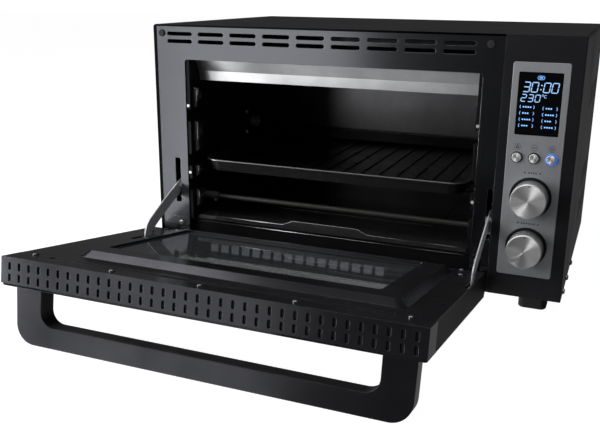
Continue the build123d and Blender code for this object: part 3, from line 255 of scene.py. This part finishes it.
tray_black = coated(
    "tray_enamel", (0.012, 0.012, 0.013), 0.0, 0.22, 0.32, 500.0, 0.00004, Specular_IOR_Level=0.15
)
crumb_steel = coated("crumb_tray_enamel", (0.17, 0.17, 0.175), 0.85, 0.16, 0.24, 500.0, 0.00003)
frame_paint = coated("door_frame_paint", (0.006, 0.006, 0.007), 0.0, 0.4, 0.5, 1500.0, 0.00003)
galvanised = coated("galvanised_sheet", (0.42, 0.43, 0.44), 0.9, 0.4, 0.55, 160.0, 0.00004)
bright_sheet = coated("bright_shield", (0.92, 0.93, 0.95), 0.65, 0.2, 0.26, 2600.0, 0.000006)
chrome = coated("chrome", (0.72, 0.73, 0.74), 1.0, 0.1, 0.2, 1500.0, 0.00001, 0.0002)
plate_steel = brushed("brushed_plate", (0.36, 0.37, 0.39), 0.35, 0.4, 0.5, (0, 0, 1))
spun_metal = spun("spun_metal", (0.98, 0.98, 0.98))
ring_metal = coated("ring_metal", (0.10, 0.10, 0.11), 1.0, 0.2, 0.3, 1500.0, 0.00001, 0.0002)
band_metal = brushed("satin_band", (0.34, 0.345, 0.36), 1.0, 0.24, 0.34)
heater = coated("heater_sheath", (0.05, 0.048, 0.046), 0.6, 0.4, 0.55, 500.0, 0.00006)
ceramic = coated("dark_ceramic", (0.035, 0.034, 0.033), 0.0, 0.55, 0.7, 900.0, 0.0001)
board = coated("circuit_board", (0.015, 0.07, 0.03), 0.0, 0.4, 0.55, 500.0, 0.0001)
screen = coated("display_black", (0.003, 0.003, 0.004), 0.0, 0.05, 0.09, 1500.0, 0.000002, 0.0)
inner_glass = glass("inner_glass", (0.05, 0.055, 0.058), 0.16, 0.004, 0.012)
outer_glass = printed_glass("outer_glass")
arm_steel = brushed("arm_steel", (0.8, 0.81, 0.83), 0.35, 0.3, 0.4, (0, 1, 0))
bright_screw = coated("bright_screw", (0.9, 0.9, 0.9), 0.5, 0.25, 0.35, 1500.0, 0.00001, 0.0002)
screw_steel = coated("screw_steel", (0.2, 0.2, 0.21), 1.0, 0.22, 0.32, 1500.0, 0.00001, 0.0002)

LOOKS = {
    satin_black: ("front_frame",),
    cap_black: ("door_top_cap", "handle_face"),
    fascia_black: ("control_fascia",),
    plastic_black: (
        "cord_gland", "wall_spacers", "knob_rings", "temperature_knob_core", "program_knob_core",
        "knob_encoders", "handle_body",
    ),
    rubber: ("feet", "door_bumpers", "door_gasket"),
    bracket_steel: ("hinge_brackets",),
    dark_steel: ("hinge_blocks",),
    shell_paint: ("outer_shell", "rear_panel"),
    frame_paint: ("door_frame",),
    panel_steel: ("door_inner_panel",),
    enamel: ("cavity_liner",),
    rear_enamel: ("cavity_back",),
    bezel_black: ("door_bezel",),
    tray_black: ("baking_tray",),
    crumb_steel: ("crumb_tray",),
    galvanised: ("base_pan", "rotisserie_motor", "fan_housing", "fan_motor"),
    bright_sheet: ("heater_shield", "fan_wheel"),
    chrome: (
        "hinge_pins", "rotisserie_socket", "temperature_probe", "arm_pins", "handle_screws", "cabinet_screws",
    ),
    bright_screw: ("liner_screws", "rotisserie_hub"),
    screw_steel: ("door_screws",),
    plate_steel: ("control_plate",),
    spun_metal: ("button_1", "button_2", "button_3", "temperature_knob_cap", "program_knob_cap"),
    ring_metal: ("button_rings",),
    band_metal: ("handle_trim",),
    heater: ("upper_heaters", "lower_heaters"),
    ceramic: ("heater_insulators",),
    board: ("display_board", "power_board"),
    screen: ("display_window",),
    inner_glass: ("door_inner_glass",),
    outer_glass: ("door_outer_glass",),
    arm_steel: ("left_stay_arm", "right_stay_arm"),
}
dressed = set()
for look, names in LOOKS.items():
    for name in names:
        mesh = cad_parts[name].data
        mesh.materials.clear()
        mesh.materials.append(look.mat)
        dressed.add(name)
missing = set(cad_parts) - dressed
assert not missing, missing


# ---------------------------------------------------------------- printed and lit details


def piece(name, mesh_data, look, body):
    """A visible piece from a bmesh, which rides on one of the CAD bodies."""
    mesh = bpy.data.meshes.new(name)
    mesh_data.to_mesh(mesh)
    mesh_data.free()
    item = bpy.data.objects.new(name, mesh)
    bpy.context.collection.objects.link(item)
    item.data.materials.append(look.mat)
    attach(item, body)
    return item


def on_panel(x, z, y):
    """A point on the panel, in millimetres: right of its middle line, above the base, behind the front."""
    return Vector((PANEL_X + x * MM, FRONT + y * MM, BASE + z * MM))


def prism(bm, outline, depth):
    """A closed flat prism from an outline of points facing the front, grown backwards by a depth."""
    front = [bm.verts.new(p) for p in outline]
    back = [bm.verts.new(p + Vector((0, depth, 0))) for p in outline]
    bm.faces.new(front)
    bm.faces.new(back[::-1])
    count = len(outline)
    for i in range(count):
        j = (i + 1) % count
        bm.faces.new((front[j], front[i], back[i], back[j]))


def bar(bm, x0, z0, x1, z1, width, y, depth, pointed=True):
    """A straight stroke between two points on the panel, with pointed or square ends."""
    a, b = Vector((x0, z0)), Vector((x1, z1))
    along = (b - a).normalized()
    across = Vector((-along.y, along.x)) * width / 2
    nip = along * (width / 2 if pointed else 0.0)
    corners = [a, a + nip - across, b - nip - across, b, b - nip + across, a + nip + across]
    if not pointed:
        corners = [a - across, b - across, b + across, a + across]
    prism(bm, [on_panel(p.x, p.y, y) for p in corners], depth * MM)


def arc(bm, cx, cz, radius, start, stop, width, y, depth, steps=20):
    """A curved stroke on the panel."""
    for i in range(steps):
        t0 = math.radians(start + (stop - start) * i / steps)
        t1 = math.radians(start + (stop - start) * (i + 1) / steps)
        r0, r1 = radius - width / 2, radius + width / 2
        corners = [(r0, t0), (r1, t0), (r1, t1), (r0, t1)]
        prism(bm, [on_panel(cx + r * math.cos(t), cz + r * math.sin(t), y) for r, t in corners], depth * MM)


def arrow(bm, tip, z, turn, long, half, y, depth):
    """A solid triangle on the panel that points left or right, by the sign of turn."""
    outline = [(tip, z), (tip - turn * long, z + half), (tip - turn * long, z - half)]
    outline = outline if turn < 0 else outline[::-1]
    prism(bm, [on_panel(px, pz, y) for px, pz in outline], depth * MM)


# The strokes of the figures that the display shows, by the usual letters of a seven-segment figure.
SEGMENTS = {"0": "abcdef", "2": "abged", "3": "abgcd"}
# How far a figure leans to the right for each millimetre of its height.
LEAN = 0.14


def digit(bm, char, x, z, wide, tall, stroke, y):
    """One leaning seven-segment figure with its lower left corner at x, z."""
    gap = stroke * 0.16
    half = tall / 2
    spots = {
        "a": ((gap, tall), (wide - gap, tall)),
        "b": ((wide, tall - gap), (wide, half + gap)),
        "c": ((wide, half - gap), (wide, gap)),
        "d": ((gap, 0), (wide - gap, 0)),
        "e": ((0, half - gap), (0, gap)),
        "f": ((0, tall - gap), (0, half + gap)),
        "g": ((gap, half), (wide - gap, half)),
    }
    for name in SEGMENTS[char]:
        (x0, z0), (x1, z1) = spots[name]
        bar(bm, x + x0 + z0 * LEAN, z + z0, x + x1 + z1 * LEAN, z + z1, stroke, y, LIT_DEPTH)


# Where the lit figures and the mode marks stand on the glass, and how deep they are, in millimetres.
LIT_Y, LIT_DEPTH = -0.74, 0.12
MARK_Y, MARK_DEPTH = -0.72, 0.1
lit = bmesh.new()
for char, x in (("3", -18.2), ("0", -9.6), ("0", 3.2), ("0", 11.8)):
    digit(lit, char, x, 239.2, 6.4, 10.4, 1.05, LIT_Y)
for z in (242.2, 246.8):
    shift = (z - 239) * LEAN
    bar(lit, -0.4 + shift, z, 1.0 + shift, z, 1.3, LIT_Y, LIT_DEPTH, False)
for char, x in (("2", -19.6), ("3", -12.2), ("0", -4.8)):
    digit(lit, char, x, 228.6, 4.9, 7.6, 0.9, LIT_Y)
arc(lit, 3.4, 236.0, 0.9, 0, 360, 0.45, LIT_Y, LIT_DEPTH)
arc(lit, 6.4, 234.8, 1.5, 50, 310, 0.5, LIT_Y, LIT_DEPTH)
piece("display_digits", lit, glowing("digit_light", (0.36, 0.6, 1.0), 1.15), "cabinet")

marks = bmesh.new()
for column, x in enumerate((-12.2, 12.2)):
    for row in range(4):
        z = 222.6 - row * 6.9 - (0.6 if column else 0.0)
        for turn in (-1, 1):
            middle = 0 if turn > 0 else 180
            arc(marks, x + turn * 5.2, z, 2.4, middle - 48, middle + 48, 0.5, MARK_Y, MARK_DEPTH, 6)
        for k in range(4 - (row + column) % 2):
            bar(marks, x - 4.6 + k * 2.5, z, x - 3.0 + k * 2.5, z, 1.5, MARK_Y, MARK_DEPTH, False)
arc(marks, -1.6, 254.8, 1.9, 90, 270, 0.45, MARK_Y, MARK_DEPTH, 8)
arc(marks, 1.8, 254.8, 1.9, -90, 90, 0.45, MARK_Y, MARK_DEPTH, 8)
for z in (252.9, 256.7):
    bar(marks, -1.6, z, 1.8, z, 0.45, MARK_Y, MARK_DEPTH, False)
bar(marks, -1.8, 254.8, 2.0, 254.8, 1.2, MARK_Y, MARK_DEPTH, False)
piece("display_modes", marks, glowing("mode_light", (0.22, 0.48, 1.0), 1.6), "cabinet")

BUTTON_STEP, BUTTON_Z = 18.6, 166.0
ring = bmesh.new()
arc(ring, BUTTON_STEP, BUTTON_Z, 6.1, 0, 360, 0.9, -1.15, 0.35, 48)
piece("lit_ring", ring, glowing("ring_light", (0.02, 0.17, 0.85), 1.4), "cabinet")

ink = coated("printed_ink", (0.018, 0.018, 0.02), 0.0, 0.5, 0.6, 1500.0, 0.00001, 0.0)
PRINT_Y, PRINT_DEPTH = -0.74, 0.06
ICON_Z = 177.8
# A ring above each button, with a fan's three blades, a double arrow or three lines inside it.
print_bm = bmesh.new()
for x in (-BUTTON_STEP, 0.0, BUTTON_STEP):
    arc(print_bm, x, ICON_Z, 3.4, 0, 360, 0.35, PRINT_Y, PRINT_DEPTH, 32)
for blade in range(3):
    turn = math.radians(90 + 120 * blade)
    cx, cz = -BUTTON_STEP + 1.25 * math.cos(turn), ICON_Z + 1.25 * math.sin(turn)
    arc(print_bm, cx, cz, 0.45, 0, 360, 0.9, PRINT_Y, PRINT_DEPTH, 12)
for turn in (-1, 1):
    arrow(print_bm, turn * 2.1, ICON_Z, turn, 1.2, 1.0, PRINT_Y, PRINT_DEPTH)
bar(print_bm, -1.0, ICON_Z, 1.0, ICON_Z, 0.35, PRINT_Y, PRINT_DEPTH, False)
for k in range(3):
    z = ICON_Z - 1.2 + k * 1.2
    bar(print_bm, BUTTON_STEP - 1.8, z, BUTTON_STEP + 1.8, z, 0.4, PRINT_Y, PRINT_DEPTH, False)
# A row of plain bars between two arrows above each knob, in place of words.
for z, half in ((149.2, 5.2), (90.2, 8.2)):
    for turn in (-1, 1):
        arrow(print_bm, turn * (half + 4.6), z, turn, 2.2, 1.2, PRINT_Y, PRINT_DEPTH)
    count = int(half / 1.3)
    for k in range(count):
        x = -half + (2 * half) * (k + 0.2) / count
        bar(print_bm, x, z, x + 1.5, z, 1.6, PRINT_Y, PRINT_DEPTH, False)
piece("panel_print", print_bm, ink, "cabinet")

# A small pointer near the top of each knob's face.
for body, z in (("temperature_knob", 62.0), ("program_knob", 120.8)):
    mark = bmesh.new()
    for side in (-1, 1):
        bar(mark, side * 1.5, z + 18.6, 0, z + 16.4, 0.5, -22.05, 0.1, False)
    piece(f"{body}_mark", mark, ink, body)


# ---------------------------------------------------------------- pressed and rolled edges


def smooth(item):
    """Shade a piece's faces as one round surface."""
    for polygon in item.data.polygons:
        polygon.use_smooth = True


def pressed_edge(name, wall_x, inward, spans, look):
    """Rounded upright edges pressed into a side wall behind the mouth, one between each two guides."""
    bm = bmesh.new()
    steps = 12
    # How far an edge stands out, half its depth, and how far its middle is behind the front.
    bulge, half_deep, middle = 4.2, 7.5, 20.5
    for low, high in spans:
        rings = []
        for height, shrink in ((low, 0.0), (low + 2.0, 1.0), (high - 2.0, 1.0), (high, 0.0)):
            ring = []
            for k in range(steps + 1):
                t = math.pi * k / steps
                out = bulge * math.sin(t) ** 0.7 * shrink + 0.05
                y = middle - half_deep * math.cos(t)
                ring.append(bm.verts.new((wall_x + inward * out * MM, FRONT + y * MM, BASE + height * MM)))
            rings.append(ring)
        for a, b in zip(rings, rings[1:]):
            for k in range(steps):
                face = (a[k], a[k + 1], b[k + 1], b[k])
                bm.faces.new(face if inward > 0 else face[::-1])
    smooth(piece(name, bm, look, "cabinet"))


# The left edges get a bright steel and the right ones the dark tray enamel, though both stand out from the
# same liner: a lit and a shaded copy. The left edges are real round edges with a painted highlight, and the
# right ones carry painted shade.
painted_lit_edge_steel = coated("painted_lit_edge_steel", (0.7, 0.7, 0.72), 1.0, 0.22, 0.3, 700.0, 0.00002, 0.0)
# The heights between which each edge runs.
EDGE_SPANS = ((59.0, 81.5), (100.5, 115.0), (134.5, 174.5), (193.5, 219.0))
pressed_edge("left_pressed_edges", LEFT + 0.0504, 1, EDGE_SPANS, painted_lit_edge_steel)
pressed_edge("right_pressed_edges_painted_shade", LEFT + 0.4224, -1, EDGE_SPANS, tray_black)


def bead(name, points, normal, radius, look, body, closed=False):
    """A thin round edge along a flat line of points, in millimetres from the cabinet's corner."""
    bm = bmesh.new()
    normal = Vector(normal)
    places = [Vector((LEFT + x * MM, FRONT + y * MM, BASE + z * MM)) for x, y, z in points]
    rings = []
    sides = 10
    for i, place in enumerate(places):
        before = places[i - 1] if closed or i else place
        after = places[(i + 1) % len(places)] if closed or i + 1 < len(places) else place
        across = (after - before).normalized().cross(normal)
        angles = [math.tau * k / sides for k in range(sides)]
        spokes = [math.cos(a) * across + math.sin(a) * normal for a in angles]
        rings.append([bm.verts.new(place + radius * MM * spoke) for spoke in spokes])
    pairs = list(zip(rings, rings[1:])) + ([(rings[-1], rings[0])] if closed else [])
    for a, b in pairs:
        for k in range(sides):
            bm.faces.new((a[k - 1], a[k], b[k], b[k - 1]))
    if not closed:
        bm.faces.new(rings[0][::-1])
        bm.faces.new(rings[-1])
    bmesh.ops.recalc_face_normals(bm, faces=bm.faces)
    smooth(piece(name, bm, look, body))


def rounded_loop(x0, x1, y0, y1, radius, z, steps=10):
    """Points round a rectangle with round corners."""
    points = []
    corners = (
        (x1 - radius, y0 + radius, -90), (x1 - radius, y1 - radius, 0), (x0 + radius, y1 - radius, 90),
        (x0 + radius, y0 + radius, 180),
    )
    for cx, cy, start in corners:
        for k in range(steps + 1):
            t = math.radians(start + 90 * k / steps)
            points.append((cx + radius * math.cos(t), cy + radius * math.sin(t), z))
    return points


# The round edges of the crumb tray's lip, the sill and the baking tray are given brighter metals than the
# parts they edge. Each is a real round edge with a painted highlight line.
painted_highlight_edge_steel = coated("painted_highlight_edge_steel", (0.5, 0.5, 0.52), 1.0, 0.2, 0.28, 700.0, 0.00001, 0.0)
painted_highlight_rim_steel = coated("painted_highlight_rim_steel", (0.26, 0.26, 0.27), 0.9, 0.24, 0.32, 700.0, 0.00001, 0.0)
# The crumb tray's front lip, with its finger grip, as distances from the cabinet's left side and heights.
LIP_LINE = ((55.4, 48.4), (180.0, 48.4), (194.0, 54.7), (282.0, 54.7), (296.0, 48.4), (419.6, 48.4))
LIP_POINTS = [(x, 8.4, z) for x, z in LIP_LINE]
bead("crumb_lip_edge", LIP_POINTS, (0, 1, 0), 0.45, painted_highlight_edge_steel, "crumb_tray")
SILL_POINTS = [(51.0, 8.8, 39.6), (422.0, 8.8, 39.6)]
bead("sill_edge", SILL_POINTS, (0, 1, 0), 0.45, painted_highlight_edge_steel, "cabinet")
RIM = rounded_loop(58.9, 413.9, 12.5, 313.5, 23.5, 124.7)
bead("baking_tray_edge", RIM, (0, 0, 1), 0.9, painted_highlight_rim_steel, "baking_tray", closed=True)

# Glowing tongues behind the vents in the door's lower rail: painted light, not a lamp, that stands in for
# daylight showing through the vents and the inner glass.
TONGUE_COUNT, FIRST_TONGUE, TONGUE_STEP = 16, 88.0, 15.4
HALF_WIDE, NEAR_OUT, FAR_OUT, THICK, ABOVE_EDGE = 5.3, 12.5, 23.0, 0.8, 4.2
TONGUE_CORNERS = ((-HALF_WIDE, NEAR_OUT), (HALF_WIDE, NEAR_OUT), (HALF_WIDE, FAR_OUT), (-HALF_WIDE, FAR_OUT))
tongues = bmesh.new()
for k in range(TONGUE_COUNT):
    x = LEFT + (FIRST_TONGUE + TONGUE_STEP * k) * MM
    start = DOOR_EDGE + DOOR_UP * ABOVE_EDGE * MM
    near = []
    for across, deep in TONGUE_CORNERS:
        near.append(tongues.verts.new(start + Vector((x + across * MM, 0, 0)) + DOOR_OUT * deep * MM))
    far = [tongues.verts.new(vert.co - DOOR_UP * THICK * MM) for vert in near]
    tongues.faces.new(near)
    tongues.faces.new(far[::-1])
    for i in range(4):
        tongues.faces.new((near[i - 1], near[i], far[i], far[i - 1])[::-1])
bmesh.ops.recalc_face_normals(tongues, faces=tongues.faces)
piece("door_vent_painted_light", tongues, glowing("vent_painted_daylight", (0.86, 0.92, 1.0), 0.5), "door")


# ---------------------------------------------------------------- studio


def white_look(name, color, strength):
    """A pale studio surface that is bright enough by itself."""
    look = Look(name, color, 0.0, 0.9)
    look.shader.inputs["Emission Color"].default_value = (1, 1, 1, 1)
    look.shader.inputs["Emission Strength"].default_value = strength
    return look


def seen_only(name, mesh, look):
    """A stage piece that only the camera sees: it casts no shadow and is in no reflection on the oven."""
    item = bpy.data.objects.new(name, mesh)
    bpy.context.collection.objects.link(item)
    item.data.materials.append(look.mat)
    item.visible_shadow = False
    item.visible_glossy = False
    item.visible_diffuse = False
    item.visible_transmission = False


floor_look = white_look("studio_white", (0.3, 0.3, 0.3), 0.97)
floor_look.tint(floor_look.noise(3.0, 2.0), (0.29, 0.29, 0.29), (0.31, 0.31, 0.31))
FLOOR_HALF, FLOOR_Z = 9, -0.0005
FLOOR_CORNERS = [(x * FLOOR_HALF, y * FLOOR_HALF, FLOOR_Z) for x, y in ((-1, -1), (1, -1), (1, 1), (-1, 1))]
floor_mesh = bpy.data.meshes.new("floor")
floor_mesh.from_pydata(FLOOR_CORNERS, [], [(0, 1, 2, 3)])
seen_only("floor", floor_mesh, floor_look)

dome = bmesh.new()
bmesh.ops.create_icosphere(dome, subdivisions=4, radius=12.0)
dome_mesh = bpy.data.meshes.new("backdrop")
dome.to_mesh(dome_mesh)
dome.free()
seen_only("backdrop", dome_mesh, white_look("backdrop_white", (0.9, 0.9, 0.9), 1.0))

world = bpy.data.worlds.new("studio")
bpy.context.scene.world = world
world.use_nodes = True
sky = world.node_tree


def sky_node(kind, **props):
    item = sky.nodes.new(kind)
    for key, value in props.items():
        setattr(item, key, value)
    return item


def sky_fade(source, start, stop, low, high):
    """A strength that changes smoothly over a range of one part of the direction."""
    item = sky_node("ShaderNodeMapRange", interpolation_type="SMOOTHSTEP")
    for key, value in (("From Min", start), ("From Max", stop), ("To Min", low), ("To Max", high)):
        item.inputs[key].default_value = value
    sky.links.new(source, item.inputs["Value"])
    return item.outputs["Result"]


def sky_math(operation, a, b):
    item = sky_node("ShaderNodeMath", operation=operation)
    sky.links.new(a, item.inputs[0])
    sky.links.new(b, item.inputs[1])
    return item.outputs[0]


# The surroundings are dark, apart from the floor on the left, a low glow behind and a faint one overhead.
way = sky_node("ShaderNodeSeparateXYZ")
sky.links.new(sky_node("ShaderNodeTexCoord").outputs["Generated"], way.inputs[0])
low_down = sky_fade(way.outputs["Z"], -0.4, -0.33, 0.85, 0.0)
to_left = sky_fade(way.outputs["X"], -0.36, -0.14, 1.0, 0.02)
near_floor = sky_math("MULTIPLY", low_down, to_left)
to_rear = sky_fade(way.outputs["Y"], 0.3, 0.9, 0.0, 0.12)
not_high = sky_fade(way.outputs["Z"], -0.1, 0.15, 1.0, 0.25)
behind = sky_math("MULTIPLY", to_rear, not_high)
rest = sky_fade(way.outputs["Z"], 0.2, 0.9, 0.022, 0.05)
strength = sky_math("ADD", sky_math("ADD", near_floor, behind), rest)
sky.links.new(strength, sky.nodes["Background"].inputs["Strength"])
sky.nodes["Background"].inputs["Color"].default_value = (1.0, 1.0, 1.0, 1.0)


LIGHT_TARGET = Vector((0.0, -0.05, 0.15))


def softbox(name, azimuth, elevation, distance, width, height, radiance):
    """A rectangular light in a direction from the oven: degrees to the left of the front, then degrees up."""
    a, e = math.radians(azimuth), math.radians(elevation)
    towards = Vector((-math.sin(a) * math.cos(e), -math.cos(a) * math.cos(e), math.sin(e)))
    data = bpy.data.lights.new(name, "AREA")
    data.shape = "RECTANGLE"
    data.size, data.size_y = width, height
    data.energy = radiance * 4.0 * width * height
    item = bpy.data.objects.new(name, data)
    bpy.context.collection.objects.link(item)
    item.location = LIGHT_TARGET + towards * distance
    item.rotation_euler = (-towards).to_track_quat("-Z", "Y").to_euler()
    item.visible_camera = False


softbox("key_soft", 28, 0, 2.2, 0.75, 2.2, 0.56)
softbox("key_mid", 45.5, 0, 2.2, 0.2, 2.4, 2.0)
softbox("key_bright", 58.5, 0, 2.2, 0.9, 2.4, 6.5)
softbox("high_left", 75, 50, 2.0, 1.0, 1.0, 1.9)
softbox("top", 0, 68, 2.0, 1.4, 1.0, 1.6)
softbox("side_right", -70, 4, 2.2, 0.6, 1.9, 0.4)

CAMERA_AT = (0.3141, -0.9268, 0.37115)
camera_data = bpy.data.cameras.new("camera")
camera_data.sensor_width = 36.0
camera_data.lens = 47.257
camera_data.clip_start = 0.01
camera_data.clip_end = 50.0
camera = bpy.data.objects.new("camera", camera_data)
bpy.context.collection.objects.link(camera)
azimuth, elevation, roll = math.radians(22.475), math.radians(16.356), math.radians(0.477)
level = math.cos(elevation)
back = Vector((math.sin(azimuth) * level, -math.cos(azimuth) * level, math.sin(elevation)))
right = Vector((math.cos(azimuth), math.sin(azimuth), 0.0))
up = right.cross(-back)
right, up = math.cos(roll) * right + math.sin(roll) * up, -math.sin(roll) * right + math.cos(roll) * up
turn = Matrix((right, up, back)).transposed().to_4x4()
camera.matrix_world = Matrix.Translation(CAMERA_AT) @ turn
bpy.context.scene.camera = camera
bpy.context.scene.view_settings.view_transform = "Standard"
